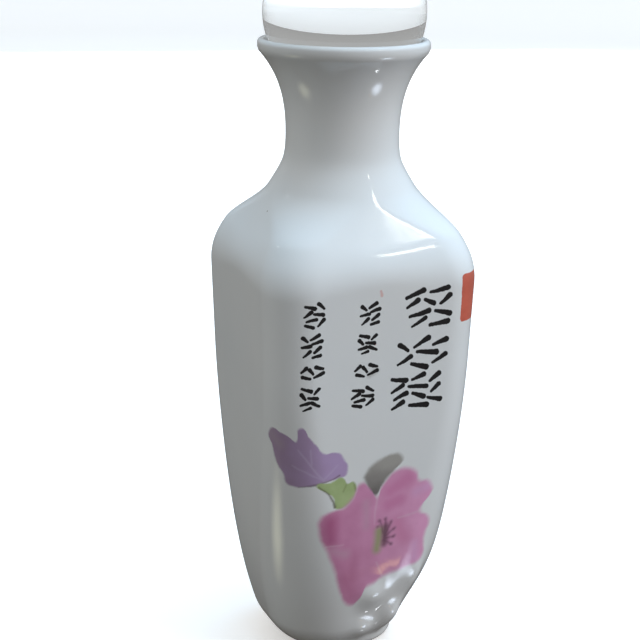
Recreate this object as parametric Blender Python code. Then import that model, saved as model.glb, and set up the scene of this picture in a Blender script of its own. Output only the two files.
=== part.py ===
"""A four-sided porcelain perfume bottle with a clear glass ball resting in its flared mouth.

Metres, +Z up. The painted front faces -Y and the foot stands on z = 0 around the Z axis.
"""

import math

import bmesh
import bpy
import numpy as np

# Body: a square column with round corners, drawn in towards the foot, where its section turns round
BODY_WIDTH = 0.0423
SHOULDER_HEIGHT = 0.0794
SIDE_LEAN = 0.0356
FOOT_DRAW = 0.0055
DRAW_POWER = 6.2
CORNER_AT_SHOULDER = 0.38
CORNER_AT_FOOT = 0.82
ROUNDING_SHARE = 0.75

# Foot: a rounded bottom edge, a flat ring to stand on and a shallow recess inside it
FOOT_RADIUS = 0.0092
FOOT_EDGE_HEIGHT = 0.0062
FOOT_RING_WIDTH = 0.0024
FOOT_RECESS_DEPTH = 0.0008

# Neck: waisted, run out softly into a sloping shoulder with four corners, softer there than on its sides
NECK_RADIUS = 0.0104
NECK_HEIGHT = 0.0958
NECK_SOFTNESS = 0.0021
SHOULDER_SOFTNESS = 0.0022
HIP_SOFTNESS = 0.0040
HIP_CORNER = 0.42
HIP_START = 0.0037
HIP_END = 0.0116

# Mouth: a flare that ends in a thin rolled lip
BOTTLE_HEIGHT = 0.1180
MOUTH_POWER = 3.4
LIP_ROLL = 0.0008
LIP_BAND = 0.0007
LIP_UNDERCUT = 0.0003

# Wall and floor of the hollow, and the steepest slope up to which the wall keeps its thickness
WALL = 0.0020
FLOOR = 0.0040
MAX_SLOPE = 1.6
SLOPE_STEP = 0.0002

# Glass ball, its seat on the lip's inner edge and the gap kept to it
BALL_RADIUS = 0.0150
BALL_RISE = 0.0056
SEAT_GAP = 0.0003

# Sunken front right corner above the foot, with thick drops of glaze on it (angles in degrees from +X)
CORNER_DENT = {"height": 0.0043, "angle": -37.0, "half_height": 0.010, "half_width": 0.0156, "depth": 0.0027}
GLAZE_DROPS = (
    {"height": 0.0161, "angle": -59.5, "half_height": 0.0042, "half_width": 0.0024, "depth": -0.0008},
    {"height": 0.0137, "angle": -88.0, "half_height": 0.0029, "half_width": 0.0028, "depth": -0.0009},
    {"height": 0.0076, "angle": -67.0, "half_height": 0.0033, "half_width": 0.0026, "depth": -0.0015},
    {"height": 0.0056, "angle": -90.5, "half_height": 0.0026, "half_width": 0.0026, "depth": -0.0009},
)

# Colours of the glaze and the glass, with their roughness
PORCELAIN_COLOUR = (0.80, 0.84, 0.86)
PORCELAIN_ROUGHNESS = 0.12
GLASS_COLOUR = (0.95, 0.97, 0.97)
GLASS_ROUGHNESS = 0.02

# Fineness of the faceted solids
COLUMNS = 56
BALL_COLUMNS = 32
BALL_ROWS = 16
ARC_STEPS = 6
FLOOR_STEPS = 4
OUTER_ROWS = {"drops": 11, "sides": 7, "shoulder": 14, "mouth": 7}
INNER_ROWS = {"mouth": 6, "shoulder": 7, "sides": 6}
SMOOTH_ANGLE = math.radians(50)
DROPS_REACH = 1.5

# Derived places
BODY_HALF = BODY_WIDTH / 2
LIP_HEIGHT = BOTTLE_HEIGHT - LIP_ROLL
NECK_TOP = LIP_HEIGHT - LIP_BAND - LIP_ROLL
MOUTH_RADIUS = math.sqrt((BALL_RADIUS + SEAT_GAP + LIP_ROLL) ** 2 - BALL_RISE ** 2)
BALL_HEIGHT = LIP_HEIGHT + BALL_RISE
DROPS_TOP = max(drop["height"] + DROPS_REACH * drop["half_height"] for drop in GLAZE_DROPS)
SHOULDER_FOOT = SHOULDER_HEIGHT - 2 * HIP_SOFTNESS


def ease(share):
    """Smooth step from 0 to 1."""
    share = np.clip(share, 0.0, 1.0)
    return share * share * (3 - 2 * share)


def soft_min(a, b, width):
    """The smaller of two values, rounded over where they are within width of each other."""
    overlap = np.maximum(width - np.abs(a - b), 0.0) / width
    return np.minimum(a, b) - overlap ** 2 * width / 4


def square_radius(angle, half, corner):
    """Distance from the axis to a square of the given half width with round corners."""
    across, along = np.abs(np.cos(angle)), np.abs(np.sin(angle))
    major, minor = np.maximum(across, along), np.minimum(across, along)
    flat = half / major
    centre = half - corner
    reach = centre * (across + along)
    arc = reach + np.sqrt(np.maximum(reach ** 2 - 2 * centre ** 2 + corner ** 2, 0.0))
    return np.where(flat * minor <= centre, flat, arc)


def body_half(z):
    """Half width of the body's flat sides at height z."""
    below = np.maximum(SHOULDER_HEIGHT - z, 0.0)
    return BODY_HALF - SIDE_LEAN * below - FOOT_DRAW * (below / SHOULDER_HEIGHT) ** DRAW_POWER


def soft_rise(depth):
    """Grows evenly below the waist, and softly from nothing above it."""
    return depth + np.sqrt(depth ** 2 + NECK_SOFTNESS ** 2)


def neck_half(z):
    """Half width of the neck, from the shoulder's edge over the waist to the lip."""
    share = soft_rise(NECK_HEIGHT - z) / soft_rise(NECK_HEIGHT - SHOULDER_HEIGHT)
    up = np.maximum(z - NECK_HEIGHT, 0.0) / (NECK_TOP - NECK_HEIGHT)
    flare = (MOUTH_RADIUS + LIP_ROLL - LIP_UNDERCUT - NECK_RADIUS) * up ** MOUTH_POWER
    return NECK_RADIUS + (BODY_HALF - NECK_RADIUS) * share + flare


def side_radius(angle, z):
    """Outer surface of the body, shoulder and neck, without the foot's rounding and the lip."""
    half = body_half(z)
    squareness = ease(z / (ROUNDING_SHARE * SHOULDER_HEIGHT))
    corner = CORNER_AT_FOOT + (CORNER_AT_SHOULDER - CORNER_AT_FOOT) * squareness
    body = square_radius(angle, half, corner * half)
    half = neck_half(z)
    roundness = ease((z - SHOULDER_HEIGHT - HIP_START) / (HIP_END - HIP_START))
    corner = HIP_CORNER + (1 - HIP_CORNER) * roundness
    neck = square_radius(angle, half, corner * half)
    softness = SHOULDER_SOFTNESS + (HIP_SOFTNESS - SHOULDER_SOFTNESS) * np.sin(2 * angle) ** 2
    return soft_min(body, neck, softness)


def foot_radius(angle, z):
    """Outer surface of the rounded bottom edge, from the standing ring up into the sides."""
    rise = np.clip(1 - z / FOOT_EDGE_HEIGHT, 0.0, 1.0)
    return FOOT_RADIUS + (side_radius(angle, z) - FOOT_RADIUS) * np.sqrt(1 - rise ** 2)


def spot_depth(spot, angle, z):
    """How far one soft hollow, or drop where its depth is negative, reaches into the side."""
    middle = math.radians(spot["angle"])
    turn = (angle - middle + math.pi) % (2 * math.pi) - math.pi
    across = turn * foot_radius(middle, spot["height"]) / spot["half_width"]
    along = (z - spot["height"]) / spot["half_height"]
    above_ring = ease(2 * z / FOOT_EDGE_HEIGHT)
    return spot["depth"] * np.exp(-across ** 2 - along ** 2) * above_ring


def body_radius(angle, z):
    """Side of the bottle with its sunken corner."""
    return foot_radius(angle, z) - spot_depth(CORNER_DENT, angle, z)


def outer_radius(angle, z):
    """Outer surface from the standing ring to the lip's underside, with the drops of glaze."""
    return body_radius(angle, z) - sum(spot_depth(drop, angle, z) for drop in GLAZE_DROPS)


def inner_radius(angle, z):
    """Wall of the hollow: inside the outer surface by the wall, and clear of the ball in the mouth."""
    slope = (side_radius(angle, z + SLOPE_STEP) - side_radius(angle, z - SLOPE_STEP)) / (2 * SLOPE_STEP)
    wall = WALL * np.sqrt(1 + np.minimum(slope ** 2, MAX_SLOPE ** 2))
    hollow = side_radius(angle, z) - spot_depth(CORNER_DENT, angle, z) - wall
    ball = np.sqrt(np.maximum((BALL_RADIUS + SEAT_GAP) ** 2 - (BALL_HEIGHT - z) ** 2, 0.0))
    return np.maximum(hollow, ball)


def ring_points(radius_of, z):
    """One ring of the bottle at height z."""
    angles = np.arange(COLUMNS) * 2 * math.pi / COLUMNS + math.pi / COLUMNS
    radii = np.broadcast_to(radius_of(angles, z), angles.shape)
    return [(r * math.cos(a), r * math.sin(a), z) for r, a in zip(radii, angles)]


def circle(radius):
    """A ring shape that is round."""
    return lambda angle, z: np.full(np.shape(angle), radius)


def spread(first, last, count):
    """Evenly spaced heights, without the last one."""
    return [first + (last - first) * i / count for i in range(count)]


def outer_rings():
    """Rings of the outside, from the standing ring's outer edge to the lip's underside."""
    foot = [FOOT_EDGE_HEIGHT * (1 - math.cos(math.pi / 2 * i / ARC_STEPS)) for i in range(ARC_STEPS)]
    drops = spread(FOOT_EDGE_HEIGHT, DROPS_TOP, OUTER_ROWS["drops"])
    sides = spread(DROPS_TOP, SHOULDER_FOOT, OUTER_ROWS["sides"])
    shoulder = spread(SHOULDER_FOOT, NECK_HEIGHT, OUTER_ROWS["shoulder"])
    mouth = spread(NECK_HEIGHT, NECK_TOP, OUTER_ROWS["mouth"]) + [NECK_TOP]
    return [ring_points(outer_radius, z) for z in foot + drops + sides + shoulder + mouth]


def lip_rings():
    """Rings of the rolled lip: up its outer band and over the top to the inside."""
    rings = [ring_points(circle(MOUTH_RADIUS + LIP_ROLL), LIP_HEIGHT - LIP_BAND)]
    for i in range(ARC_STEPS + 1):
        turn = math.pi * i / ARC_STEPS
        radius = MOUTH_RADIUS + LIP_ROLL * math.cos(turn)
        rings.append(ring_points(circle(radius), LIP_HEIGHT + LIP_ROLL * math.sin(turn)))
    return rings


def inner_rings():
    """Rings of the hollow, from below the lip down to the floor."""
    mouth = spread(NECK_TOP, NECK_HEIGHT, INNER_ROWS["mouth"])
    shoulder = spread(NECK_HEIGHT, SHOULDER_FOOT, INNER_ROWS["shoulder"])
    sides = spread(SHOULDER_FOOT, FLOOR + FOOT_EDGE_HEIGHT, INNER_ROWS["sides"])
    rings = [ring_points(inner_radius, z) for z in mouth + shoulder + sides]
    for i in range(FLOOR_STEPS):
        turn = math.pi / 2 * i / FLOOR_STEPS
        drawn = FOOT_RADIUS * (1 - math.cos(turn))
        height = FLOOR + FOOT_EDGE_HEIGHT * (1 - math.sin(turn))
        rings.append(ring_points(lambda angle, z: inner_radius(angle, z) - drawn, height))
    return rings


def loft(name, rings):
    """A closed solid through rings of equal count, with its first and last ring filled."""
    mesh = bpy.data.meshes.new(name)
    bm = bmesh.new()
    rows = [[bm.verts.new(point) for point in ring] for ring in rings]
    for low, high in zip(rows, rows[1:]):
        for i in range(COLUMNS):
            j = (i + 1) % COLUMNS
            bm.faces.new((low[i], low[j], high[j], high[i]))
    bm.faces.new(reversed(rows[0]))
    bm.faces.new(rows[-1])
    bmesh.ops.recalc_face_normals(bm, faces=bm.faces)
    bm.to_mesh(mesh)
    bm.free()
    mesh.shade_smooth()
    mesh.set_sharp_from_angle(angle=SMOOTH_ANGLE)
    return mesh


def material(name, colour, roughness, transmission=0.0):
    """A plain Principled material."""
    made = bpy.data.materials.new(name)
    made.use_nodes = True
    shader = made.node_tree.nodes["Principled BSDF"]
    shader.inputs["Base Color"].default_value = (*colour, 1.0)
    shader.inputs["Roughness"].default_value = roughness
    shader.inputs["Metallic"].default_value = 0.0
    shader.inputs["Transmission Weight"].default_value = transmission
    return made


def add_object(name, mesh, made, height=0.0):
    """Place a mesh as a named object on the axis."""
    thing = bpy.data.objects.new(name, mesh)
    thing.location = (0.0, 0.0, height)
    thing.data.materials.append(made)
    bpy.context.scene.collection.objects.link(thing)
    return thing


def make_bottle():
    """The porcelain bottle: one solid, hollow and open at the mouth."""
    recess_radius = FOOT_RADIUS - FOOT_RING_WIDTH
    underside = [
        ring_points(circle(recess_radius - FOOT_RECESS_DEPTH), FOOT_RECESS_DEPTH),
        ring_points(circle(recess_radius), 0.0),
    ]
    mesh = loft("bottle", underside + outer_rings() + lip_rings() + inner_rings())
    return add_object("bottle", mesh, material("porcelain", PORCELAIN_COLOUR, PORCELAIN_ROUGHNESS))


def make_ball_stopper():
    """The clear glass ball that rests on the lip's inner edge."""
    mesh = bpy.data.meshes.new("ball_stopper")
    bm = bmesh.new()
    bmesh.ops.create_uvsphere(bm, u_segments=BALL_COLUMNS, v_segments=BALL_ROWS, radius=BALL_RADIUS)
    bm.to_mesh(mesh)
    bm.free()
    mesh.shade_smooth()
    glass = material("clear_glass", GLASS_COLOUR, GLASS_ROUGHNESS, transmission=1.0)
    return add_object("ball_stopper", mesh, glass, BALL_HEIGHT)


def main():
    for thing in list(bpy.data.objects):
        bpy.data.objects.remove(thing)
    make_bottle()
    make_ball_stopper()


main()
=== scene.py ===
"""The look of a painted porcelain perfume bottle with a clear glass ball in its mouth."""

import math

import bpy
import numpy as np
from mathutils import Matrix, Vector


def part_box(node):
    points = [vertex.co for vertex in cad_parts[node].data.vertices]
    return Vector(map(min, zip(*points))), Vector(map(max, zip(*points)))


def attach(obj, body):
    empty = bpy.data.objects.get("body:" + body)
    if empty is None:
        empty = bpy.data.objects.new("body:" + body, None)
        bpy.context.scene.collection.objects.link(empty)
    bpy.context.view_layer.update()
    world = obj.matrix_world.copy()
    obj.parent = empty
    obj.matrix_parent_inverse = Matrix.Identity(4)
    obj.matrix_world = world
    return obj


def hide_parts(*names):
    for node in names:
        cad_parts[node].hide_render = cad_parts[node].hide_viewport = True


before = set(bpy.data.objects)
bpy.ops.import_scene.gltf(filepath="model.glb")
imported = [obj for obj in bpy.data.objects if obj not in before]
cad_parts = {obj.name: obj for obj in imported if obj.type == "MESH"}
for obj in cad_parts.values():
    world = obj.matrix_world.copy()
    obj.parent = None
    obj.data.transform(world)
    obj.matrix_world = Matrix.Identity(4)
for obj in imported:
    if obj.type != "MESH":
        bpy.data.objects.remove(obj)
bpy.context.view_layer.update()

MM = 0.001

# Sizes of the form, as in the solids
SHOULDER_HEIGHT = 0.0794
SIDE_LEAN = 0.0356
FOOT_DRAW = 0.0055
DRAW_POWER = 6.2
CORNER_AT_SHOULDER = 0.38
CORNER_AT_FOOT = 0.82
ROUNDING_SHARE = 0.75
BODY_HALF = 0.02115
FOOT_RADIUS = 0.0092
FOOT_EDGE_HEIGHT = 0.0062
FOOT_RING_WIDTH = 0.0024
FOOT_RECESS_DEPTH = 0.0008
NECK_RADIUS = 0.0104
NECK_HEIGHT = 0.0958
NECK_SOFTNESS = 0.0021
SHOULDER_SOFTNESS = 0.0022
HIP_SOFTNESS = 0.0040
HIP_CORNER = 0.42
HIP_START = 0.0037
HIP_END = 0.0116
MOUTH_POWER = 3.4
LIP_ROLL = 0.0008
LIP_BAND = 0.0007
LIP_UNDERCUT = 0.0003
WALL = 0.0020
FLOOR = 0.0040
MAX_SLOPE = 1.6
SLOPE_STEP = 0.0002
SEAT_GAP = 0.0003
CORNER_DENT = {"height": 0.0043, "angle": -37.0, "half_height": 0.010, "half_width": 0.0156, "depth": 0.0027}
GLAZE_DROPS = (
    {"height": 0.0161, "angle": -59.5, "half_height": 0.0042, "half_width": 0.0024, "depth": -0.0008},
    {"height": 0.0137, "angle": -88.0, "half_height": 0.0029, "half_width": 0.0028, "depth": -0.0009},
    {"height": 0.0076, "angle": -67.0, "half_height": 0.0033, "half_width": 0.0026, "depth": -0.0015},
    {"height": 0.0056, "angle": -90.5, "half_height": 0.0026, "half_width": 0.0026, "depth": -0.0009},
)

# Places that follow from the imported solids
BALL_LOW, BALL_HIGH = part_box("ball_stopper")
BALL_RADIUS = (BALL_HIGH.z - BALL_LOW.z) / 2
BALL_HEIGHT = (BALL_HIGH.z + BALL_LOW.z) / 2
BOTTLE_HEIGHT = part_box("bottle")[1].z
LIP_HEIGHT = BOTTLE_HEIGHT - LIP_ROLL
NECK_TOP = LIP_HEIGHT - LIP_BAND - LIP_ROLL
MOUTH_RADIUS = math.sqrt((BALL_RADIUS + SEAT_GAP + LIP_ROLL) ** 2 - (BALL_HEIGHT - LIP_HEIGHT) ** 2)
DROPS_REACH = 1.5
DROPS_TOP = max(drop["height"] + DROPS_REACH * drop["half_height"] for drop in GLAZE_DROPS)
SHOULDER_FOOT = SHOULDER_HEIGHT - 2 * HIP_SOFTNESS

# Fineness of the meshes: columns round the bottle, shares of the recess and of the flat ring that get
# a ring of points, and rows of each part
FRONT = -math.pi / 2
COLUMNS = 256
RECESS_SHARES = (0.02, 0.5, 0.9, 1.0)
RING_CUT = 0.2
BISQUE_ROWS = 3
FOOT_ROWS = 16
DROP_ROWS = 58
SIDE_ROWS = 48
SHOULDER_ROWS = 64
MOUTH_ROWS = 40
LIP_ROWS = 16
INNER_MOUTH_ROWS = 20
INNER_SHOULDER_ROWS = 28
INNER_SIDE_ROWS = 18
INNER_FLOOR_ROWS = 12
BALL_CUTS = 28
BALL_DIGITS = 6


def ease(share):
    """Smooth step from 0 to 1."""
    share = np.clip(share, 0.0, 1.0)
    return share * share * (3 - 2 * share)


def soft_min(a, b, width):
    """The smaller of two values, rounded over where they are within width of each other."""
    overlap = np.maximum(width - np.abs(a - b), 0.0) / width
    return np.minimum(a, b) - overlap ** 2 * width / 4


def square_radius(angle, half, corner):
    """Distance from the axis to a square of the given half width with round corners."""
    across, along = np.abs(np.cos(angle)), np.abs(np.sin(angle))
    major, minor = np.maximum(across, along), np.minimum(across, along)
    flat = half / major
    centre = half - corner
    reach = centre * (across + along)
    arc = reach + np.sqrt(np.maximum(reach ** 2 - 2 * centre ** 2 + corner ** 2, 0.0))
    return np.where(flat * minor <= centre, flat, arc)


def body_half(z):
    """Half width of the body's flat sides at height z."""
    below = np.maximum(SHOULDER_HEIGHT - z, 0.0)
    return BODY_HALF - SIDE_LEAN * below - FOOT_DRAW * (below / SHOULDER_HEIGHT) ** DRAW_POWER


def soft_rise(depth):
    """Grows evenly below the waist, and softly from nothing above it."""
    return depth + np.sqrt(depth ** 2 + NECK_SOFTNESS ** 2)


def neck_half(z):
    """Half width of the neck, from the shoulder's edge over the waist to the lip."""
    share = soft_rise(NECK_HEIGHT - z) / soft_rise(NECK_HEIGHT - SHOULDER_HEIGHT)
    up = np.maximum(z - NECK_HEIGHT, 0.0) / (NECK_TOP - NECK_HEIGHT)
    flare = (MOUTH_RADIUS + LIP_ROLL - LIP_UNDERCUT - NECK_RADIUS) * up ** MOUTH_POWER
    return NECK_RADIUS + (BODY_HALF - NECK_RADIUS) * share + flare


def side_radius(angle, z):
    """Outer surface of the body, shoulder and neck, without the foot's rounding and the lip."""
    half = body_half(z)
    squareness = ease(z / (ROUNDING_SHARE * SHOULDER_HEIGHT))
    corner = CORNER_AT_FOOT + (CORNER_AT_SHOULDER - CORNER_AT_FOOT) * squareness
    body = square_radius(angle, half, corner * half)
    half = neck_half(z)
    roundness = ease((z - SHOULDER_HEIGHT - HIP_START) / (HIP_END - HIP_START))
    corner = HIP_CORNER + (1 - HIP_CORNER) * roundness
    neck = square_radius(angle, half, corner * half)
    softness = SHOULDER_SOFTNESS + (HIP_SOFTNESS - SHOULDER_SOFTNESS) * np.sin(2 * angle) ** 2
    return soft_min(body, neck, softness)


def foot_radius(angle, z):
    """Outer surface of the rounded bottom edge, from the standing ring up into the sides."""
    rise = np.clip(1 - z / FOOT_EDGE_HEIGHT, 0.0, 1.0)
    return FOOT_RADIUS + (side_radius(angle, z) - FOOT_RADIUS) * np.sqrt(1 - rise ** 2)


def spot_depth(spot, angle, z):
    """How far one soft hollow, or drop where its depth is negative, reaches into the side."""
    middle = math.radians(spot["angle"])
    turn = (angle - middle + math.pi) % (2 * math.pi) - math.pi
    across = turn * foot_radius(middle, spot["height"]) / spot["half_width"]
    along = (z - spot["height"]) / spot["half_height"]
    above_ring = ease(2 * z / FOOT_EDGE_HEIGHT)
    return spot["depth"] * np.exp(-across ** 2 - along ** 2) * above_ring


def outer_radius(angle, z):
    """Outer surface from the standing ring to the lip's underside, with the drops of glaze."""
    spots = (CORNER_DENT,) + GLAZE_DROPS
    return foot_radius(angle, z) - sum(spot_depth(spot, angle, z) for spot in spots)


def inner_radius(angle, z):
    """Wall of the hollow: inside the outer surface by the wall, and clear of the ball in the mouth."""
    slope = (side_radius(angle, z + SLOPE_STEP) - side_radius(angle, z - SLOPE_STEP)) / (2 * SLOPE_STEP)
    wall = WALL * np.sqrt(1 + np.minimum(slope ** 2, MAX_SLOPE ** 2))
    hollow = side_radius(angle, z) - spot_depth(CORNER_DENT, angle, z) - wall
    ball = np.sqrt(np.maximum((BALL_RADIUS + SEAT_GAP) ** 2 - (BALL_HEIGHT - z) ** 2, 0.0))
    return np.maximum(hollow, ball)


# Rings of the bottle
ANGLES = FRONT + np.arange(COLUMNS) * 2 * math.pi / COLUMNS


def ring(radius_of, z):
    """Points of one ring at height z, the first of them on the front's centre line."""
    radii = np.broadcast_to(radius_of(ANGLES, z), ANGLES.shape)
    return np.stack([radii * np.cos(ANGLES), radii * np.sin(ANGLES), np.full(COLUMNS, z)], axis=1)


def circle(radius):
    """A ring shape that is round."""
    return lambda angle, z: np.full(np.shape(angle), radius)


def spread(first, last, count):
    """Evenly spaced heights, without the last one."""
    return [first + (last - first) * i / count for i in range(count)]


def underside_rings():
    """The recess under the foot and the flat ring round it."""
    recess = FOOT_RADIUS - FOOT_RING_WIDTH
    ceiling = recess - FOOT_RECESS_DEPTH
    rings = [ring(circle(ceiling * share), FOOT_RECESS_DEPTH) for share in RECESS_SHARES]
    return rings + [ring(circle(recess), 0.0), ring(circle(recess + RING_CUT * FOOT_RING_WIDTH), 0.0)]


def outer_rings():
    """The outside, from the standing ring's outer edge to the lip's underside."""
    foot = [FOOT_EDGE_HEIGHT * (1 - math.cos(math.pi / 2 * i / FOOT_ROWS)) for i in range(FOOT_ROWS)]
    drops = spread(FOOT_EDGE_HEIGHT, DROPS_TOP, DROP_ROWS)
    sides = spread(DROPS_TOP, SHOULDER_FOOT, SIDE_ROWS)
    shoulder = spread(SHOULDER_FOOT, NECK_HEIGHT, SHOULDER_ROWS)
    mouth = spread(NECK_HEIGHT, NECK_TOP, MOUTH_ROWS) + [NECK_TOP]
    return [ring(outer_radius, z) for z in foot + drops + sides + shoulder + mouth]


def lip_rings():
    """The rolled lip: up its outer band and over the top to the inside."""
    rings = [ring(circle(MOUTH_RADIUS + LIP_ROLL), LIP_HEIGHT - LIP_BAND)]
    for i in range(LIP_ROWS + 1):
        turn = math.pi * i / LIP_ROWS
        radius = MOUTH_RADIUS + LIP_ROLL * math.cos(turn)
        rings.append(ring(circle(radius), LIP_HEIGHT + LIP_ROLL * math.sin(turn)))
    return rings


def inner_rings():
    """The hollow, from below the lip down to the floor."""
    mouth = spread(NECK_TOP, NECK_HEIGHT, INNER_MOUTH_ROWS)
    shoulder = spread(NECK_HEIGHT, SHOULDER_FOOT, INNER_SHOULDER_ROWS)
    sides = spread(SHOULDER_FOOT, FLOOR + FOOT_EDGE_HEIGHT, INNER_SIDE_ROWS)
    rings = [ring(inner_radius, z) for z in mouth + shoulder + sides]
    for i in range(INNER_FLOOR_ROWS):
        turn = math.pi / 2 * i / INNER_FLOOR_ROWS
        drawn = FOOT_RADIUS * (1 - math.cos(turn))
        height = FLOOR + FOOT_EDGE_HEIGHT * (1 - math.sin(turn))
        rings.append(ring(lambda angle, z: inner_radius(angle, z) - drawn, height))
    return rings


def paint_place(rings):
    """For each ring, the way along it from the front's centre line in millimetres, and its height."""
    places = []
    for points in rings:
        closed = np.vstack([points, points[:1]])
        steps = np.hypot(*np.diff(closed[:, :2], axis=0).T)
        way = np.concatenate([[0.0], np.cumsum(steps)]) / MM
        places.append((way, points[0, 2] / MM))
    return places


def make_bottle(glaze, bisque):
    """The porcelain bottle as one closed mesh, with its painting's coordinates."""
    below, outside, lip, inside = underside_rings(), outer_rings(), lip_rings(), inner_rings()
    rings = below + outside + lip + inside
    points = np.vstack(rings + [[[0.0, 0.0, FOOT_RECESS_DEPTH]], [[0.0, 0.0, FLOOR]]])
    places = paint_place(rings)
    start, end = len(points) - 2, len(points) - 1
    faces, paint = [], []
    for low in range(len(rings) - 1):
        (low_way, low_height), (high_way, high_height) = places[low], places[low + 1]
        row, above = low * COLUMNS, (low + 1) * COLUMNS
        for i in range(COLUMNS):
            j = (i + 1) % COLUMNS
            faces.append((row + i, row + j, above + j, above + i))
            wrap = i >= COLUMNS // 2
            low_shift, high_shift = wrap * low_way[-1], wrap * high_way[-1]
            paint += [(low_way[i] - low_shift, low_height), (low_way[i + 1] - low_shift, low_height),
                      (high_way[i + 1] - high_shift, high_height), (high_way[i] - high_shift, high_height)]
    last = (len(rings) - 1) * COLUMNS
    for i in range(COLUMNS):
        j = (i + 1) % COLUMNS
        faces.append((j, i, start))
        faces.append((last + i, last + j, end))
        paint += [(0.0, 0.0)] * 6
    mesh = bpy.data.meshes.new("bottle_glazed")
    mesh.from_pydata([tuple(point) for point in points], [], faces)
    layer = mesh.uv_layers.new(name="paint")
    layer.data.foreach_set("uv", np.array(paint, dtype=np.float32).ravel())
    mesh.materials.append(glaze)
    mesh.materials.append(bisque)
    slots = np.zeros(len(faces), dtype=np.int32)
    first_row = len(below) - 2
    slots[first_row * COLUMNS:(first_row + BISQUE_ROWS) * COLUMNS] = 1
    mesh.polygons.foreach_set("material_index", slots)
    mesh.shade_smooth()
    mesh.validate()
    mesh.update()
    bottle = bpy.data.objects.new("bottle_glazed", mesh)
    bpy.context.scene.collection.objects.link(bottle)
    return bottle


def make_ball(glass):
    """The glass ball as a cube's grid blown out to a sphere."""
    steps = np.tan(np.linspace(-math.pi / 4, math.pi / 4, BALL_CUTS + 1))
    u, v = np.meshgrid(steps, steps, indexing="ij")
    one = np.ones_like(u)
    sides = [(one, u, v), (-one, v, u), (v, one, u), (u, -one, v), (u, v, one), (v, u, -one)]
    index, points, faces = {}, [], []
    for side in sides:
        grid = np.stack(side, axis=-1)
        grid /= np.linalg.norm(grid, axis=-1, keepdims=True)
        place = np.zeros(u.shape, dtype=int)
        for cell in np.ndindex(u.shape):
            key = tuple(np.round(grid[cell], BALL_DIGITS) + 0.0)
            if key not in index:
                index[key] = len(points)
                x, y, z = grid[cell] * BALL_RADIUS
                points.append((x, y, z + BALL_HEIGHT))
            place[cell] = index[key]
        for i in range(BALL_CUTS):
            for j in range(BALL_CUTS):
                faces.append((place[i, j], place[i + 1, j], place[i + 1, j + 1], place[i, j + 1]))
    mesh = bpy.data.meshes.new("ball_clear")
    mesh.from_pydata(points, [], [tuple(int(k) for k in face) for face in faces])
    mesh.materials.append(glass)
    mesh.shade_smooth()
    mesh.update()
    ball = bpy.data.objects.new("ball_clear", mesh)
    bpy.context.scene.collection.objects.link(ball)
    return ball


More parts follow.
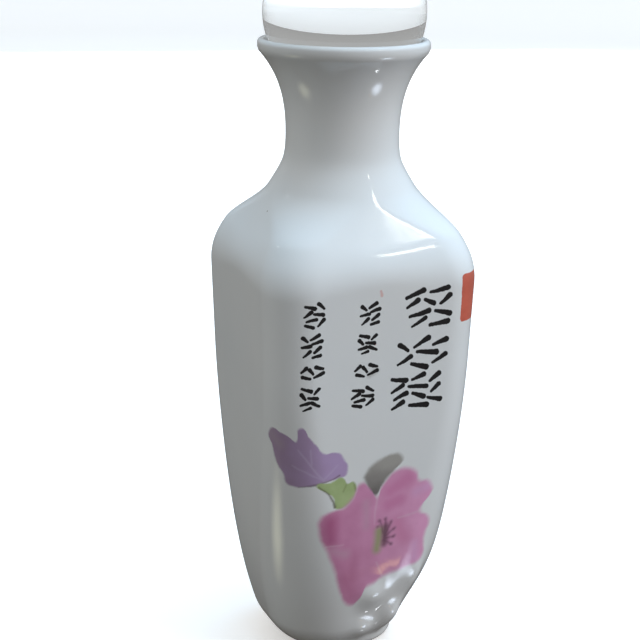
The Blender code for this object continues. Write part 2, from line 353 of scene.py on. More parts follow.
class Graph:
    """Adds nodes to the tree of a material or a world, each after the ones that it reads."""

    def __init__(self, owner):
        owner.use_nodes = True
        self.owner = owner
        self.tree = owner.node_tree
        self.shader = self.tree.nodes.get("Principled BSDF")

    def add(self, kind, inputs, settings=None):
        """A new node with its inputs linked or set by socket name or number."""
        node = self.tree.nodes.new(kind)
        for key, value in (settings or {}).items():
            setattr(node, key, value)
        for key, value in inputs.items():
            self.feed(node.inputs[key], value)
        return node

    def feed(self, socket, value):
        """Link a socket to another one, or set its value."""
        if isinstance(value, bpy.types.NodeSocket):
            self.tree.links.new(value, socket)
        else:
            socket.default_value = value

    def math(self, operation, *values, clamp=False):
        """One number worked out from others."""
        inputs = dict(enumerate(values))
        return self.add("ShaderNodeMath", inputs, {"operation": operation, "use_clamp": clamp}).outputs[0]

    def vector(self, operation, *values):
        """One vector, or its length or dot product, worked out from others."""
        node = self.add("ShaderNodeVectorMath", dict(enumerate(values)), {"operation": operation})
        return node.outputs[1 if operation in ("LENGTH", "DISTANCE", "DOT_PRODUCT") else 0]

    def scale(self, value, factor):
        """A vector times a number."""
        inputs = {0: value, "Scale": factor}
        return self.add("ShaderNodeVectorMath", inputs, {"operation": "SCALE"}).outputs[0]

    def within(self, distance, inside, outside):
        """1 where a distance is below inside, falling smoothly to 0 at outside."""
        inputs = {"Value": distance, "From Min": inside, "From Max": outside, "To Min": 1.0, "To Max": 0.0}
        return self.add("ShaderNodeMapRange", inputs, {"interpolation_type": "SMOOTHSTEP"}).outputs[0]

    def fade(self, value, first, last, low=0.0, high=1.0):
        """A straight change from low to high while a value goes from first to last."""
        inputs = {"Value": value, "From Min": first, "From Max": last, "To Min": low, "To Max": high}
        return self.add("ShaderNodeMapRange", inputs).outputs[0]

    def parts(self, vector):
        """The three parts of a vector or a colour."""
        return self.add("ShaderNodeSeparateXYZ", {0: vector}).outputs

    def noise(self, point, scale, detail):
        """A noise texture's value and its colour as a vector."""
        return self.add("ShaderNodeTexNoise", {"Vector": point, "Scale": scale, "Detail": detail}).outputs

    def wander(self, point, scale, reach):
        """A vector that drifts up to half a reach to each side from place to place."""
        drift = self.vector("SUBTRACT", self.noise(point, scale, 1.0)[1], (0.5, 0.5, 0.5))
        return self.scale(drift, reach)

    def mix(self, factor, under, over):
        """A colour laid over another by a factor, each given as a socket or as red, green and blue."""
        colours = {6: under, 7: over}
        for key, value in colours.items():
            if isinstance(value, tuple):
                colours[key] = (*value, 1.0)
        return self.add("ShaderNodeMix", {0: factor, **colours}, {"data_type": "RGBA"}).outputs[2]

    def bump(self, height, distance):
        """Feed a height to the shader's normal."""
        node = self.add("ShaderNodeBump", {"Strength": 1.0, "Distance": distance, "Height": height})
        self.feed(self.shader.inputs["Normal"], node.outputs[0])

    def stroke(self, point, stroke, under=None):
        """Distance to the edge of a tapering stroke, below zero inside it, joined to a distance before it."""
        (x0, y0), (x1, y1), first, last = stroke
        start, run = Vector((x0, y0, 0.0)), Vector((x1 - x0, y1 - y0, 0.0))
        rate = run / run.length_squared
        along = self.vector("DOT_PRODUCT", point, rate)
        along = self.math("SUBTRACT", along, start.dot(rate), clamp=True)
        nearest = self.scale(run, along)
        nearest = self.vector("ADD", nearest, start)
        distance = self.vector("DISTANCE", point, nearest)
        width = self.math("MULTIPLY_ADD", along, last - first, first)
        distance = self.math("SUBTRACT", distance, width)
        return distance if under is None else self.math("MINIMUM", under, distance)

    def outline(self, point, centre, corners, reach):
        """Distance beyond a closed outline drawn round its centre, below zero inside it."""
        offset = self.vector("SUBTRACT", point, (*centre, 0.0))
        across, along = self.parts(offset)[:2]
        turn = self.math("ARCTAN2", along, across)
        share = self.math("MULTIPLY_ADD", turn, 0.5 / math.pi, 0.5)
        ring_points = []
        for x, y in corners:
            dx, dy = x - centre[0], y - centre[1]
            ring_points.append((math.atan2(dy, dx) / (2 * math.pi) + 0.5, math.hypot(dx, dy) / reach))
        ring_points.sort()
        (first, first_radius), (last, last_radius) = ring_points[0], ring_points[-1]
        seam = last_radius + (first_radius - last_radius) * (1 - last) / (first + 1 - last)
        curve = self.tree.nodes.new("ShaderNodeFloatCurve")
        mapping = curve.mapping
        mapping.curves[0].points[0].location = (0.0, seam)
        mapping.curves[0].points[1].location = (1.0, seam)
        for place in ring_points:
            mapping.curves[0].points.new(*place)
        mapping.update()
        self.feed(curve.inputs["Value"], share)
        length = self.vector("LENGTH", offset)
        edge = self.math("MULTIPLY", curve.outputs[0], reach)
        return self.math("SUBTRACT", length, edge)


# Painting: places in millimetres, across from the front's centre line and up from the foot.
# A stroke runs between two places, with its half width at each end
INK_COLOUR = (0.008, 0.007, 0.008)
SMALL_WEIGHT = 1.25
LARGE_WEIGHT = 1.2
SEAL = {"low": (15.5, 67.9), "high": (21.2, 77.0), "corner": 0.8}

# Brush marks of the small columns: each group is a few strokes that form no sign, in a unit box
MARKS = (
    (((0.10, 0.88), (0.50, 0.80), 0.20, 0.32), ((0.66, 0.98), (0.92, 0.78), 0.30, 0.20),
     ((0.36, 0.66), (0.06, 0.46), 0.32, 0.16), ((0.48, 0.58), (0.90, 0.52), 0.20, 0.32),
     ((0.18, 0.28), (0.56, 0.36), 0.20, 0.30), ((0.92, 0.32), (0.66, 0.08), 0.32, 0.18),
     ((0.12, 0.12), (0.44, 0.02), 0.24, 0.30)),
    (((0.80, 0.96), (0.46, 0.78), 0.34, 0.20), ((0.12, 0.86), (0.32, 0.70), 0.32, 0.20),
     ((0.54, 0.60), (0.94, 0.70), 0.20, 0.32), ((0.08, 0.46), (0.46, 0.52), 0.20, 0.30),
     ((0.90, 0.44), (0.62, 0.24), 0.30, 0.20), ((0.44, 0.30), (0.14, 0.06), 0.30, 0.14),
     ((0.56, 0.04), (0.90, 0.12), 0.22, 0.30)),
    (((0.06, 0.56), (0.26, 0.90), 0.18, 0.32), ((0.38, 0.78), (0.54, 0.40), 0.30, 0.18),
     ((0.64, 0.94), (0.92, 0.76), 0.32, 0.22), ((0.12, 0.22), (0.42, 0.08), 0.30, 0.20),
     ((0.58, 0.16), (0.94, 0.44), 0.18, 0.32)),
    (((0.12, 0.98), (0.54, 0.84), 0.22, 0.32), ((0.92, 0.94), (0.70, 0.72), 0.30, 0.18),
     ((0.10, 0.72), (0.28, 0.50), 0.32, 0.20), ((0.42, 0.56), (0.84, 0.52), 0.20, 0.32),
     ((0.08, 0.24), (0.46, 0.34), 0.20, 0.30), ((0.60, 0.34), (0.96, 0.16), 0.30, 0.20),
     ((0.54, 0.12), (0.22, 0.00), 0.26, 0.14)),
)


def marks_distance(graph, point, box, marks, weight):
    """Distance to the edge of one group of brush marks that fills a box of the painting."""
    (left, low), (right, high) = box
    distance = None
    for (x0, y0), (x1, y1), first, last in marks:
        start = (left + (right - left) * x0, low + (high - low) * y0)
        end = (left + (right - left) * x1, low + (high - low) * y1)
        distance = graph.stroke(point, (start, end, first * weight, last * weight), distance)
    return distance


# Boxes of the groups of marks, top to bottom
SMALL_BOXES = (
    ((-15.8, 69.8), (-11.6, 74.3)), ((-16.2, 64.1), (-12.0, 68.6)),
    ((-16.2, 60.1), (-11.5, 62.6)), ((-16.1, 54.2), (-12.2, 58.5)),
    ((-5.1, 69.3), (-0.9, 73.5)), ((-5.3, 64.0), (-1.3, 67.6)),
    ((-5.8, 59.5), (-0.9, 61.9)), ((-6.3, 53.8), (-1.4, 57.6)),
)
SMALL_ORDER = (0, 1, 2, 3, 1, 3, 2, 0)
LARGE_BOXES = (((3.5, 67.9), (13.4, 75.2)), ((2.3, 59.9), (13.0, 65.9)), ((1.0, 52.6), (12.1, 58.9)))
LARGE_MARKS = (
    (((0.06, 0.80), (0.40, 0.96), 0.30, 0.46), ((0.54, 0.90), (0.90, 0.98), 0.26, 0.44),
     ((0.30, 0.72), (0.08, 0.54), 0.44, 0.22), ((0.44, 0.72), (0.62, 0.60), 0.28, 0.44),
     ((0.94, 0.78), (0.76, 0.58), 0.44, 0.26), ((0.14, 0.30), (0.52, 0.42), 0.26, 0.46),
     ((0.66, 0.40), (0.96, 0.30), 0.28, 0.46), ((0.46, 0.24), (0.20, 0.04), 0.42, 0.20),
     ((0.56, 0.04), (0.92, 0.10), 0.28, 0.48)),
    (((0.62, 0.98), (0.36, 0.72), 0.50, 0.24), ((0.08, 0.82), (0.24, 0.64), 0.44, 0.28),
     ((0.72, 0.74), (0.96, 0.88), 0.26, 0.48), ((0.42, 0.56), (0.78, 0.50), 0.28, 0.48),
     ((0.30, 0.44), (0.06, 0.20), 0.44, 0.20), ((0.96, 0.40), (0.72, 0.16), 0.46, 0.24),
     ((0.32, 0.18), (0.60, 0.04), 0.28, 0.50)),
    (((0.08, 0.92), (0.34, 0.84), 0.28, 0.46), ((0.46, 0.84), (0.66, 0.98), 0.26, 0.44),
     ((0.94, 0.96), (0.78, 0.76), 0.44, 0.24), ((0.28, 0.70), (0.08, 0.50), 0.42, 0.22),
     ((0.40, 0.64), (0.72, 0.60), 0.26, 0.44), ((0.94, 0.62), (0.82, 0.42), 0.42, 0.24),
     ((0.14, 0.28), (0.36, 0.44), 0.24, 0.44), ((0.48, 0.42), (0.68, 0.28), 0.28, 0.44),
     ((0.30, 0.18), (0.10, 0.00), 0.42, 0.20), ((0.76, 0.24), (0.98, 0.14), 0.26, 0.46),
     ((0.42, 0.06), (0.74, 0.02), 0.28, 0.46)),
)


def ink_distance(graph, point):
    """Distance to the edge of all the brush marks."""
    distance = None
    for box, order in zip(SMALL_BOXES, SMALL_ORDER):
        group = marks_distance(graph, point, box, MARKS[order], SMALL_WEIGHT)
        distance = group if distance is None else graph.math("MINIMUM", distance, group)
    for box, marks in zip(LARGE_BOXES, LARGE_MARKS):
        group = marks_distance(graph, point, box, marks, LARGE_WEIGHT)
        distance = graph.math("MINIMUM", distance, group)
    return distance


def seal_distance(graph, point):
    """Distance beyond the plain red seal block, a square with round corners."""
    low, high = Vector((*SEAL["low"], 0.0)), Vector((*SEAL["high"], 0.0))
    offset = graph.vector("SUBTRACT", point, (low + high) / 2)
    offset = graph.vector("ABSOLUTE", offset)
    round_by = Vector((SEAL["corner"], SEAL["corner"], 0.0))
    offset = graph.vector("SUBTRACT", offset, (high - low) / 2 - round_by)
    offset = graph.vector("MAXIMUM", offset, (0.0, 0.0, -1.0))
    offset = graph.vector("MULTIPLY", offset, (1.0, 1.0, 0.0))
    return graph.math("SUBTRACT", graph.vector("LENGTH", offset), SEAL["corner"])


# Outlines of the painted flower and its leaves, each with its centre and a reach that goes beyond it
FLOWER_CENTRE = (0.7, 27.8)
FLOWER_REACH = 18.0
FLOWER_EDGE = (
    (-3.3, 38.6), (-2.2, 37.9), (-1.0, 36.5), (0.0, 35.3), (0.7, 36.9), (2.1, 38.7), (3.7, 40.1),
    (5.8, 40.4), (7.8, 39.6), (8.6, 37.5), (10.4, 37.2), (11.7, 35.4), (11.0, 33.8), (9.5, 32.3),
    (9.3, 30.9), (10.8, 29.9), (11.8, 28.1), (11.0, 25.8), (11.1, 23.3), (11.1, 20.8), (9.6, 19.7),
    (7.4, 19.3), (5.6, 18.7), (3.9, 18.4), (2.1, 17.8), (0.7, 16.9), (-1.1, 16.3), (-1.8, 14.5),
    (-2.7, 12.9), (-3.7, 12.4), (-5.0, 13.3), (-6.1, 15.5), (-7.2, 18.5), (-8.0, 21.4), (-9.0, 24.0),
    (-10.0, 26.2), (-10.9, 27.7), (-11.4, 30.1), (-11.4, 31.9), (-10.1, 33.3), (-8.5, 33.7), (-6.5, 34.2),
    (-5.2, 35.5), (-4.4, 37.1),
)
VIOLET_CENTRE = (-12.9, 43.2)
VIOLET_REACH = 12.0
VIOLET_EDGE = (
    (-22.1, 49.5), (-19.5, 49.5), (-17.8, 48.9), (-16.4, 48.0), (-16.2, 49.4), (-15.6, 50.8), (-14.2, 49.1),
    (-12.6, 47.4), (-11.2, 45.6), (-9.2, 45.5), (-7.8, 45.1), (-6.9, 43.6), (-6.3, 42.4), (-6.5, 40.8),
    (-7.4, 40.3), (-9.0, 40.0), (-11.2, 39.7), (-13.8, 39.1), (-16.4, 38.9), (-18.1, 39.6), (-18.6, 41.0),
    (-19.7, 42.5), (-20.7, 44.6), (-21.4, 46.7),
)
GREY_CENTRE = (0.6, 39.7)
GREY_REACH = 8.0
GREY_EDGE = (
    (2.7, 43.7), (4.7, 43.1), (4.5, 41.5), (3.4, 40.5), (1.8, 38.7), (0.7, 37.2), (-0.6, 35.6),
    (-1.5, 36.3), (-2.5, 38.5), (-3.0, 39.7), (-2.0, 41.2), (-0.1, 42.7), (1.3, 43.3),
)
GREEN_CENTRE = (-7.2, 37.2)
GREEN_REACH = 6.0
GREEN_EDGE = (
    (-12.2, 39.2), (-10.7, 39.5), (-9.0, 39.7), (-7.9, 40.3), (-6.8, 39.8), (-6.2, 38.9), (-5.1, 39.1),
    (-4.3, 37.9), (-4.5, 36.5), (-5.2, 35.2), (-6.5, 34.2), (-7.9, 33.9), (-8.6, 35.1), (-8.9, 36.3),
    (-10.0, 37.3), (-11.4, 38.3),
)

# Fine strokes on the leaves
VIOLET_TIP = (((-21.6, 48.8), (-19.6, 47.2), 1.2, 0.8),)
VIOLET_VEINS = (
    ((-11.0, 40.3), (-13.4, 43.0), 0.14, 0.12), ((-13.4, 43.0), (-15.9, 46.4), 0.12, 0.06),
    ((-11.0, 40.3), (-17.0, 43.2), 0.10, 0.05), ((-11.0, 40.3), (-8.3, 42.9), 0.10, 0.05),
    ((-13.4, 43.0), (-13.6, 46.4), 0.08, 0.05),
)
VIOLET_RIM = (
    ((-15.6, 38.9), (-12.2, 39.4), 0.05, 0.20), ((-12.2, 39.4), (-9.2, 40.1), 0.20, 0.10),
    ((-9.2, 40.1), (-7.9, 40.8), 0.10, 0.16),
)
GREEN_FOLDS = (((-6.3, 38.9), (-6.9, 37.4), 0.06, 0.12), ((-5.0, 39.0), (-4.4, 37.2), 0.10, 0.22))
STEM = (
    ((-11.8, 38.9), (-10.0, 37.3), 0.10, 0.16), ((-10.0, 37.3), (-8.9, 35.6), 0.16, 0.20),
    ((-8.9, 35.6), (-8.5, 34.5), 0.20, 0.28),
)

# Shades of the petals: strokes, softness, colour and strength
PETAL_SHADES = (
    ((((-9.2, 31.2), (-9.0, 27.6), 1.5, 1.3),),
     1.5, (0.47, 0.13, 0.28), 0.80),
    ((((-5.6, 19.0), (-3.8, 14.6), 1.0, 0.9), ((-3.9, 23.2), (-4.4, 18.5), 0.7, 1.0)),
     1.5, (0.49, 0.17, 0.31), 0.50),
    ((((2.5, 36.0), (6.2, 38.2), 1.2, 1.4), ((2.4, 33.4), (4.6, 34.0), 1.2, 1.2)),
     1.2, (0.64, 0.235, 0.44), 0.75),
    ((((4.6, 29.4), (6.1, 26.2), 1.0, 1.4),),
     1.5, (0.68, 0.27, 0.47), 0.70),
    ((((-8.4, 25.3), (-6.0, 24.3), 0.5, 0.9), ((-2.2, 34.2), (-1.9, 29.5), 0.7, 0.5)),
     1.2, (0.60, 0.36, 0.50), 0.70),
    ((((8.0, 35.2), (10.4, 36.0), 0.6, 0.9), ((8.7, 24.0), (8.9, 21.0), 0.7, 1.0)),
     1.3, (0.74, 0.42, 0.68), 0.80),
)
PETAL_SEAMS = (
    ((0.0, 35.0), (-0.2, 32.7), 0.16, 0.12), ((-0.2, 32.7), (-0.3, 29.8), 0.12, 0.05),
    ((4.6, 30.2), (9.2, 31.1), 0.05, 0.16), ((-9.8, 26.2), (-6.4, 26.4), 0.12, 0.05),
    ((2.1, 18.2), (0.7, 21.4), 0.14, 0.05),
)

# The flower's heart, with its shadow, its threads and the dots on their ends
HEART = ((0.9, 28.0), (0.6, 24.2), 0.75, 0.60)
HEART_SHADOW = ((2.2, 28.8), (2.1, 25.2), 0.40, 0.35)
STAMENS = (
    ((1.7, 27.6), (0.9, 30.0), 0.16, 0.12), ((1.9, 27.4), (2.0, 30.1), 0.14, 0.12),
    ((2.0, 27.0), (3.1, 29.4), 0.14, 0.12), ((2.1, 26.8), (3.7, 28.0), 0.14, 0.12),
    ((2.1, 26.4), (3.7, 26.5), 0.14, 0.12), ((2.0, 26.0), (3.4, 25.0), 0.14, 0.10),
)
STAMEN_ENDS = ((0.6, 30.2), (1.9, 30.4), (3.1, 29.7), (3.9, 28.1), (3.9, 26.5), (3.5, 24.9), (0.4, 29.0))

# Small faults of the printing
RED_FLECKS = (((-1.1, 75.5), (-0.8, 74.7), 0.20, 0.26), ((-1.9, 65.8), (-1.8, 65.6), 0.22, 0.18))
SMUDGE = (((-2.6, 59.8), (-1.2, 60.5), 0.55, 0.45),)

# Colours of the painting, darker and lighter where there are two
VIOLETS = (0.38, 0.28, 0.42), (0.48, 0.36, 0.60)
VEIN_COLOUR = (0.58, 0.48, 0.68)
TIP_COLOUR = (0.42, 0.34, 0.42)
RIM_COLOUR = (0.16, 0.11, 0.16)
GREYS = (0.18, 0.17, 0.165), (0.40, 0.39, 0.37)
GREENS = (0.34, 0.45, 0.20), (0.50, 0.62, 0.33)
FOLD_COLOUR = (0.22, 0.27, 0.13)
STEM_COLOUR = (0.17, 0.17, 0.12)
PINKS = (0.58, 0.235, 0.41), (0.80, 0.40, 0.64)
SEAM_COLOUR = (0.76, 0.54, 0.68)
HEART_COLOUR = (0.34, 0.41, 0.19)
HEART_DARK = (0.15, 0.08, 0.11)
STAMEN_COLOUR = (0.17, 0.08, 0.13)
STAMEN_DARK = (0.16, 0.08, 0.12)
FLECK_COLOUR = (0.72, 0.20, 0.16)
SMUDGE_COLOUR = (0.42, 0.42, 0.40)
SEAL_REDS = (0.50, 0.075, 0.036), (0.70, 0.125, 0.065)

# Glaze, unglazed body and glass: colours, roughness, and depths of their fine relief in metres
GLAZE_WHITES = (0.77, 0.815, 0.84), (0.83, 0.845, 0.845)
PIT_COLOUR = (0.20, 0.16, 0.12)
GLAZE_WAVE = 0.00012
GLAZE_INDEX = 1.52
BISQUE_COLOURS = (0.70, 0.66, 0.60), (0.52, 0.46, 0.38)
BISQUE_GRAIN = 0.00005
GLASS_TINTS = (0.96, 0.985, 0.98), (0.985, 0.99, 0.99)
GLASS_SMEAR = 0.000004
GLASS_INDEX = 1.5
GLAZE_ROUGHNESS = (0.07, 0.11)
PAINT_ROUGHNESS = 0.10
BISQUE_ROUGHNESS = (0.75, 0.95)
GLASS_ROUGHNESS = (0.0, 0.03)
PEEL_SHARE = 0.035
PIT_SHARE = -0.05

# Fineness of the noise in the surfaces, per metre
CLOUD_SCALE = 260.0
TONE_SCALE = 45.0
PIT_SCALE = 130.0
SWELL_SCALE = 70.0
PEEL_SCALE = 700.0
GRAIN_SCALE = 3000.0
STAIN_SCALE = 300.0
SMEAR_SCALE = 120.0
TINT_SCALE = 30.0

# The painting's unsteady edges: noise per metre and its reach in millimetres
DRIFT = (420.0, 0.35)
SHAKE = (2600.0, 0.16)

# Where ink, seal and pits begin and end at their edges, and how much they cover
INK_EDGE = (-0.05, 0.06)
INK_COVER = 0.985
SEAL_EDGE = (-0.10, 0.08)
SEAL_COVER = 0.95
PIT_EDGE = (0.012, 0.034)
PIT_COVER = 0.8
PIT_RARITY = 0.90


def lay_outline(graph, colour, distance, soft, paint):
    """Paint laid over a colour inside an outline, with a soft edge."""
    mask = graph.within(distance, -soft, soft)
    return graph.mix(mask, colour, paint)


def lay_strokes(graph, colour, point, strokes, soft, paint, strength):
    """Soft strokes of paint laid over a colour."""
    distance = None
    for stroke in strokes:
        distance = graph.stroke(point, stroke, distance)
    mask = graph.math("MULTIPLY", graph.within(distance, -soft, soft), strength)
    return graph.mix(mask, colour, paint)


def paint_violet_leaf(graph, colour, point, cloud):
    """The violet leaf with its pale veins and dark lower rim."""
    distance = graph.outline(point, VIOLET_CENTRE, VIOLET_EDGE, VIOLET_REACH)
    light = graph.fade(graph.parts(point)[0], -21.0, -8.5, -0.45, 0.55)
    light = graph.math("MULTIPLY_ADD", cloud, 0.8, light, clamp=True)
    violet = graph.mix(light, *VIOLETS)
    violet = lay_strokes(graph, violet, point, VIOLET_VEINS, 0.30, VEIN_COLOUR, 0.6)
    violet = lay_strokes(graph, violet, point, VIOLET_TIP, 1.4, TIP_COLOUR, 0.7)
    colour = lay_outline(graph, colour, distance, 0.35, violet)
    return lay_strokes(graph, colour, point, VIOLET_RIM, 0.22, RIM_COLOUR, 0.8)


def paint_grey_leaf(graph, colour, point, cloud):
    """The grey leaf behind the flower, darker toward its foot."""
    distance = graph.outline(point, GREY_CENTRE, GREY_EDGE, GREY_REACH)
    light = graph.fade(graph.parts(point)[1], 37.0, 43.5, -0.3, 0.9)
    light = graph.math("MULTIPLY_ADD", cloud, 0.8, light, clamp=True)
    grey = graph.mix(light, *GREYS)
    return lay_outline(graph, colour, distance, 0.6, grey)


def paint_green_leaf(graph, colour, point, cloud):
    """The green leaf under the violet one, with its dark stem."""
    distance = graph.outline(point, GREEN_CENTRE, GREEN_EDGE, GREEN_REACH)
    light = graph.math("MULTIPLY_ADD", cloud, 1.4, -0.2, clamp=True)
    green = graph.mix(light, *GREENS)
    green = lay_strokes(graph, green, point, GREEN_FOLDS, 0.30, FOLD_COLOUR, 0.7)
    colour = lay_outline(graph, colour, distance, 0.3, green)
    return lay_strokes(graph, colour, point, STEM, 0.25, STEM_COLOUR, 0.85)


def paint_flower(graph, colour, point, cloud):
    """The pink flower with its petals, light seams between them and a dark centre."""
    distance = graph.outline(point, FLOWER_CENTRE, FLOWER_EDGE, FLOWER_REACH)
    light = graph.fade(graph.parts(point)[0], -4.0, 8.0, -0.1, 0.45)
    light = graph.math("MULTIPLY_ADD", cloud, 0.8, light, clamp=True)
    pink = graph.mix(light, *PINKS)
    for strokes, soft, paint, strength in PETAL_SHADES:
        pink = lay_strokes(graph, pink, point, strokes, soft, paint, strength)
    pink = lay_strokes(graph, pink, point, PETAL_SEAMS, 0.35, SEAM_COLOUR, 0.55)
    colour = lay_outline(graph, colour, distance, 0.75, pink)
    heart = graph.within(graph.stroke(point, HEART), -0.8, 1.1)
    colour = graph.mix(graph.math("MULTIPLY", heart, 0.85), colour, HEART_COLOUR)
    shadow = graph.within(graph.stroke(point, HEART_SHADOW), -0.4, 0.9)
    colour = graph.mix(graph.math("MULTIPLY", shadow, 0.75), colour, HEART_DARK)
    colour = lay_strokes(graph, colour, point, STAMENS, 0.50, STAMEN_COLOUR, 0.80)
    dots = [((x, y), (x + 0.12, y + 0.1), 0.22, 0.20) for x, y in STAMEN_ENDS]
    return lay_strokes(graph, colour, point, dots, 0.45, STAMEN_DARK, 0.70)


def paint_point(graph, place):
    """The painting's own coordinates, made to wander a little so that no edge is ruled."""
    spot = graph.add("ShaderNodeUVMap", {}, {"uv_map": "paint"}).outputs[0]
    drift = graph.vector("ADD", graph.wander(place, *DRIFT), graph.wander(place, *SHAKE))
    return graph.vector("ADD", spot, graph.vector("MULTIPLY", drift, (1.0, 1.0, 0.0)))


def speck_mask(graph, place):
    """1 in a few tiny pits of the glaze."""
    cells = graph.add("ShaderNodeTexVoronoi", {"Vector": place, "Scale": PIT_SCALE}).outputs
    rare = graph.math("GREATER_THAN", graph.parts(cells["Color"])[0], PIT_RARITY)
    return graph.math("MULTIPLY", graph.within(cells["Distance"], *PIT_EDGE), rare)


def make_glaze():
    """White glaze with the painting under it: colour, gloss and waviness from nodes."""
    graph = Graph(bpy.data.materials.new("porcelain_glaze"))
    place = graph.add("ShaderNodeTexCoord", {}).outputs["Object"]
    point = paint_point(graph, place)
    cloud = graph.noise(place, CLOUD_SCALE, 3.0)[0]
    tone = graph.noise(place, TONE_SCALE, 3.0)[0]
    speck = speck_mask(graph, place)

    colour = graph.mix(tone, *GLAZE_WHITES)
    colour = graph.mix(graph.math("MULTIPLY", speck, PIT_COVER), colour, PIT_COLOUR)
    colour = paint_violet_leaf(graph, colour, point, cloud)
    colour = paint_grey_leaf(graph, colour, point, cloud)
    colour = paint_green_leaf(graph, colour, point, cloud)
    colour = paint_flower(graph, colour, point, cloud)
    colour = lay_strokes(graph, colour, point, RED_FLECKS, 0.15, FLECK_COLOUR, 0.45)
    colour = lay_strokes(graph, colour, point, SMUDGE, 0.5, SMUDGE_COLOUR, 0.6)
    ink = graph.within(ink_distance(graph, point), *INK_EDGE)
    colour = graph.mix(graph.math("MULTIPLY", ink, INK_COVER), colour, INK_COLOUR)
    seal = graph.within(seal_distance(graph, point), *SEAL_EDGE)
    mottle = graph.math("MULTIPLY_ADD", cloud, 2.0, -0.5, clamp=True)
    red = graph.mix(mottle, *SEAL_REDS)
    colour = graph.mix(graph.math("MULTIPLY", seal, SEAL_COVER), colour, red)
    graph.feed(graph.shader.inputs["Base Color"], colour)

    painted = graph.math("MAXIMUM", ink, seal)
    gloss = graph.fade(tone, 0.3, 0.7, *GLAZE_ROUGHNESS)
    gloss = graph.math("MULTIPLY_ADD", painted, PAINT_ROUGHNESS, gloss)
    graph.feed(graph.shader.inputs["Roughness"], gloss)
    swell = graph.noise(place, SWELL_SCALE, 1.0)[0]
    peel = graph.noise(place, PEEL_SCALE, 1.0)[0]
    height = graph.math("MULTIPLY_ADD", peel, PEEL_SHARE, swell)
    height = graph.math("MULTIPLY_ADD", speck, PIT_SHARE, height)
    graph.bump(height, GLAZE_WAVE)
    graph.shader.inputs["IOR"].default_value = GLAZE_INDEX
    return graph.owner


def make_bisque():
    """Unglazed, slightly worn body of the ring that the bottle stands on."""
    graph = Graph(bpy.data.materials.new("porcelain_bisque"))
    place = graph.add("ShaderNodeTexCoord", {}).outputs["Object"]
    grain = graph.noise(place, GRAIN_SCALE, 4.0)[0]
    stain = graph.noise(place, STAIN_SCALE, 3.0)[0]
    colour = graph.mix(stain, *BISQUE_COLOURS)
    graph.feed(graph.shader.inputs["Base Color"], colour)
    graph.feed(graph.shader.inputs["Roughness"], graph.fade(grain, 0.3, 0.7, *BISQUE_ROUGHNESS))
    graph.bump(grain, BISQUE_GRAIN)
    return graph.owner


def make_glass():
    """Clear glass with faint handling marks."""
    graph = Graph(bpy.data.materials.new("clear_glass_ball"))
    place = graph.add("ShaderNodeTexCoord", {}).outputs["Object"]
    smear = graph.noise(place, SMEAR_SCALE, 3.0)[0]
    tint = graph.noise(place, TINT_SCALE, 1.0)[0]
    colour = graph.mix(tint, *GLASS_TINTS)
    graph.feed(graph.shader.inputs["Base Color"], colour)
    graph.feed(graph.shader.inputs["Roughness"], graph.fade(smear, 0.55, 0.8, *GLASS_ROUGHNESS))
    graph.bump(smear, GLASS_SMEAR)
    graph.shader.inputs["Transmission Weight"].default_value = 1.0
    graph.shader.inputs["IOR"].default_value = GLASS_INDEX
    return graph.owner


# Stage, lights and camera
STAGE_RADIUS = 1.2
STAGE_CURVE = 0.25
STAGE_COLUMNS = 64
CURVE_ROWS = 8
STAGE_GLOW = (0.38, 0.37, 0.36)
STAGE_ROUGHNESS = 0.9
PAPER_COLOURS = (0.86, 0.86, 0.86), (0.88, 0.88, 0.88)
PAPER_SCALE = 40.0
WORLD_ABOVE = (0.44, 0.44, 0.44)
WORLD_BELOW = (0.055, 0.044, 0.036)
WORLD_FADE = (-0.50, 0.35)

# Small bright places of the room that the glaze and the glass show:
# direction, half width and half height in degrees, share that is fully bright, strength
GLINTS = (
    (-50.0, 45.0, 1.8, 1.8, 0.6, (26.0, 26.0, 24.0)),
    (-57.0, 37.0, 1.6, 1.6, 0.6, (26.0, 25.0, 22.0)),
    (-57.2, -40.8, 0.65, 1.8, 0.3, (11.0, 7.0, 2.6)),
    (-40.0, -44.0, 12.0, 7.5, 0.2, (7.0, 8.0, 9.5)),
    (-24.0, -61.0, 1.8, 1.8, 0.5, (22.0, 23.0, 24.0)),
    (163.0, -38.0, 17.0, 8.5, 0.0, (2.5, 2.5, 1.75)),
    (140.0, 36.0, 1.4, 1.4, 0.6, (18.0, 19.0, 20.0)),
)

# Soft lights: name, place, size, power and colour
LIGHTS_AIM = (0.0, 0.0, 0.07)
LIGHTS = (
    ("overhead", (0.286, 0.057, 1.1), (1.0, 1.0), 10.3, (0.40, 0.72, 1.0)),
    ("window_right", (0.807, -0.677, 0.55), (0.6, 0.8), 7.0, (0.96, 0.97, 1.0)),
    ("fill_left", (-0.95, 0.10, 0.65), (0.8, 0.8), 1.7, (0.93, 1.0, 1.0)),
    ("fill_back", (0.20, 0.94, 0.30), (0.8, 0.6), 3.5, (0.94, 0.98, 1.0)),
)
LENS = 87.645
SENSOR = 36.0
CLIP_NEAR = 0.01
CLIP_FAR = 20.0
CAMERA_PLACE = (-0.11469, -0.26410, 0.14749)
CAMERA_HEADING = math.radians(22.749)
CAMERA_PITCH = math.radians(16.118)
CAMERA_ROLL = math.radians(0.850)


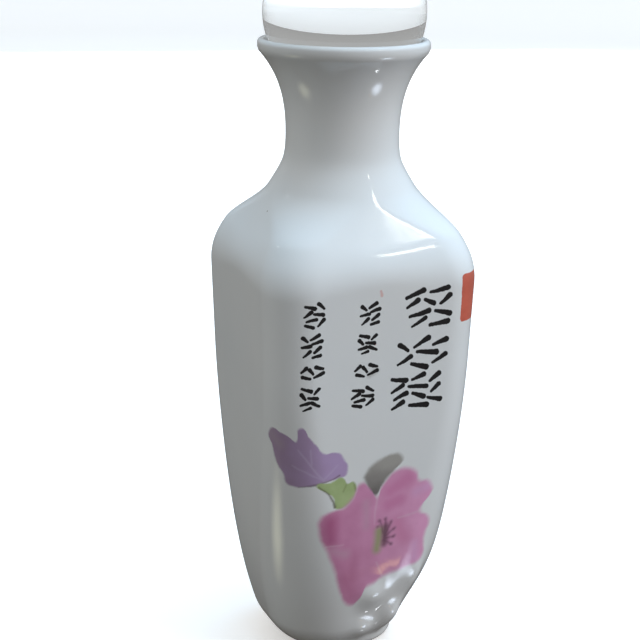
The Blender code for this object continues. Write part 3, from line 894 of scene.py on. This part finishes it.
def make_stage():
    """A plain pale floor that curves up into a wall all round."""
    profile = [(0.0, 0.0), (STAGE_RADIUS / 2, 0.0), (STAGE_RADIUS, 0.0)]
    for i in range(1, CURVE_ROWS + 1):
        turn = math.pi / 2 * i / CURVE_ROWS
        profile.append((STAGE_RADIUS + STAGE_CURVE * math.sin(turn), STAGE_CURVE * (1 - math.cos(turn))))
    count = STAGE_COLUMNS
    points, faces = [(0.0, 0.0, 0.0)], []
    for radius, height in profile[1:]:
        for i in range(count):
            turn = 2 * math.pi * i / count
            points.append((radius * math.cos(turn), radius * math.sin(turn), height))
    for i in range(count):
        faces.append((0, 1 + i, 1 + (i + 1) % count))
    for row in range(len(profile) - 2):
        low, high = 1 + row * count, 1 + (row + 1) * count
        for i in range(count):
            j = (i + 1) % count
            faces.append((low + j, low + i, high + i, high + j))
    mesh = bpy.data.meshes.new("stage")
    mesh.from_pydata(points, [], faces)
    mesh.shade_smooth()
    graph = Graph(bpy.data.materials.new("stage_paper"))
    place = graph.add("ShaderNodeTexCoord", {}).outputs["Object"]
    grain = graph.noise(place, PAPER_SCALE, 2.0)[0]
    colour = graph.mix(grain, *PAPER_COLOURS)
    graph.feed(graph.shader.inputs["Base Color"], colour)
    graph.shader.inputs["Roughness"].default_value = STAGE_ROUGHNESS
    graph.shader.inputs["Specular IOR Level"].default_value = 0.1
    graph.shader.inputs["Emission Color"].default_value = (*STAGE_GLOW, 1.0)
    graph.shader.inputs["Emission Strength"].default_value = 1.0
    mesh.materials.append(graph.owner)
    stage = bpy.data.objects.new("stage", mesh)
    bpy.context.scene.collection.objects.link(stage)
    stage.visible_diffuse = False
    stage.visible_glossy = False


def add_light(name, place, size, power, colour):
    """A soft rectangular light that faces the middle of the bottle."""
    data = bpy.data.lights.new(name, "AREA")
    data.shape = "RECTANGLE"
    data.size, data.size_y = size
    data.energy = power
    data.color = colour
    light = bpy.data.objects.new(name, data)
    way = Vector(LIGHTS_AIM) - Vector(place)
    light.matrix_world = Matrix.Translation(place) @ way.to_track_quat("-Z", "Y").to_matrix().to_4x4()
    light.visible_glossy = False
    light.visible_transmission = False
    bpy.context.scene.collection.objects.link(light)


def make_world():
    """A dim room that is darker from below, with a few small bright places."""
    graph = Graph(bpy.data.worlds.new("studio"))
    way = graph.add("ShaderNodeTexCoord", {}).outputs["Generated"]
    depth = graph.within(graph.parts(way)[2], *WORLD_FADE)
    colour = graph.mix(depth, WORLD_ABOVE, WORLD_BELOW)
    for azimuth, elevation, half_width, half_height, firm, strength in GLINTS:
        turn, lift = math.radians(azimuth), math.radians(elevation)
        middle = (math.cos(turn) * math.cos(lift), math.sin(turn) * math.cos(lift), math.sin(lift))
        size = (1.0, math.radians(half_width), math.radians(half_height))
        inputs = {"Vector": way, "Location": middle, "Rotation": (0.0, -lift, turn), "Scale": size}
        local = graph.add("ShaderNodeMapping", inputs, {"vector_type": "TEXTURE"}).outputs[0]
        glint = graph.within(graph.vector("LENGTH", local), firm, 1.0)
        colour = graph.mix(glint, colour, strength)
    graph.feed(graph.tree.nodes["Background"].inputs["Color"], colour)
    bpy.context.scene.world = graph.owner


def make_camera():
    """The photograph's view."""
    data = bpy.data.cameras.new("camera")
    data.lens = LENS
    data.sensor_width = SENSOR
    data.clip_start = CLIP_NEAR
    data.clip_end = CLIP_FAR
    camera = bpy.data.objects.new("camera", data)
    turn = Matrix.Rotation(-CAMERA_HEADING, 4, "Z") @ Matrix.Rotation(math.pi / 2 - CAMERA_PITCH, 4, "X")
    camera.matrix_world = Matrix.Translation(CAMERA_PLACE) @ turn @ Matrix.Rotation(CAMERA_ROLL, 4, "Z")
    bpy.context.scene.collection.objects.link(camera)
    bpy.context.scene.camera = camera


def main():
    """Dress both pieces and set the stage, the lights and the camera."""
    bottle = make_bottle(make_glaze(), make_bisque())
    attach(bottle, "root")
    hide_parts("bottle")
    ball = make_ball(make_glass())
    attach(ball, "root")
    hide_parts("ball_stopper")
    make_stage()
    make_world()
    for light in LIGHTS:
        add_light(*light)
    make_camera()
    scene = bpy.context.scene
    scene.view_settings.view_transform = "Standard"
    scene.view_settings.look = "None"


main()
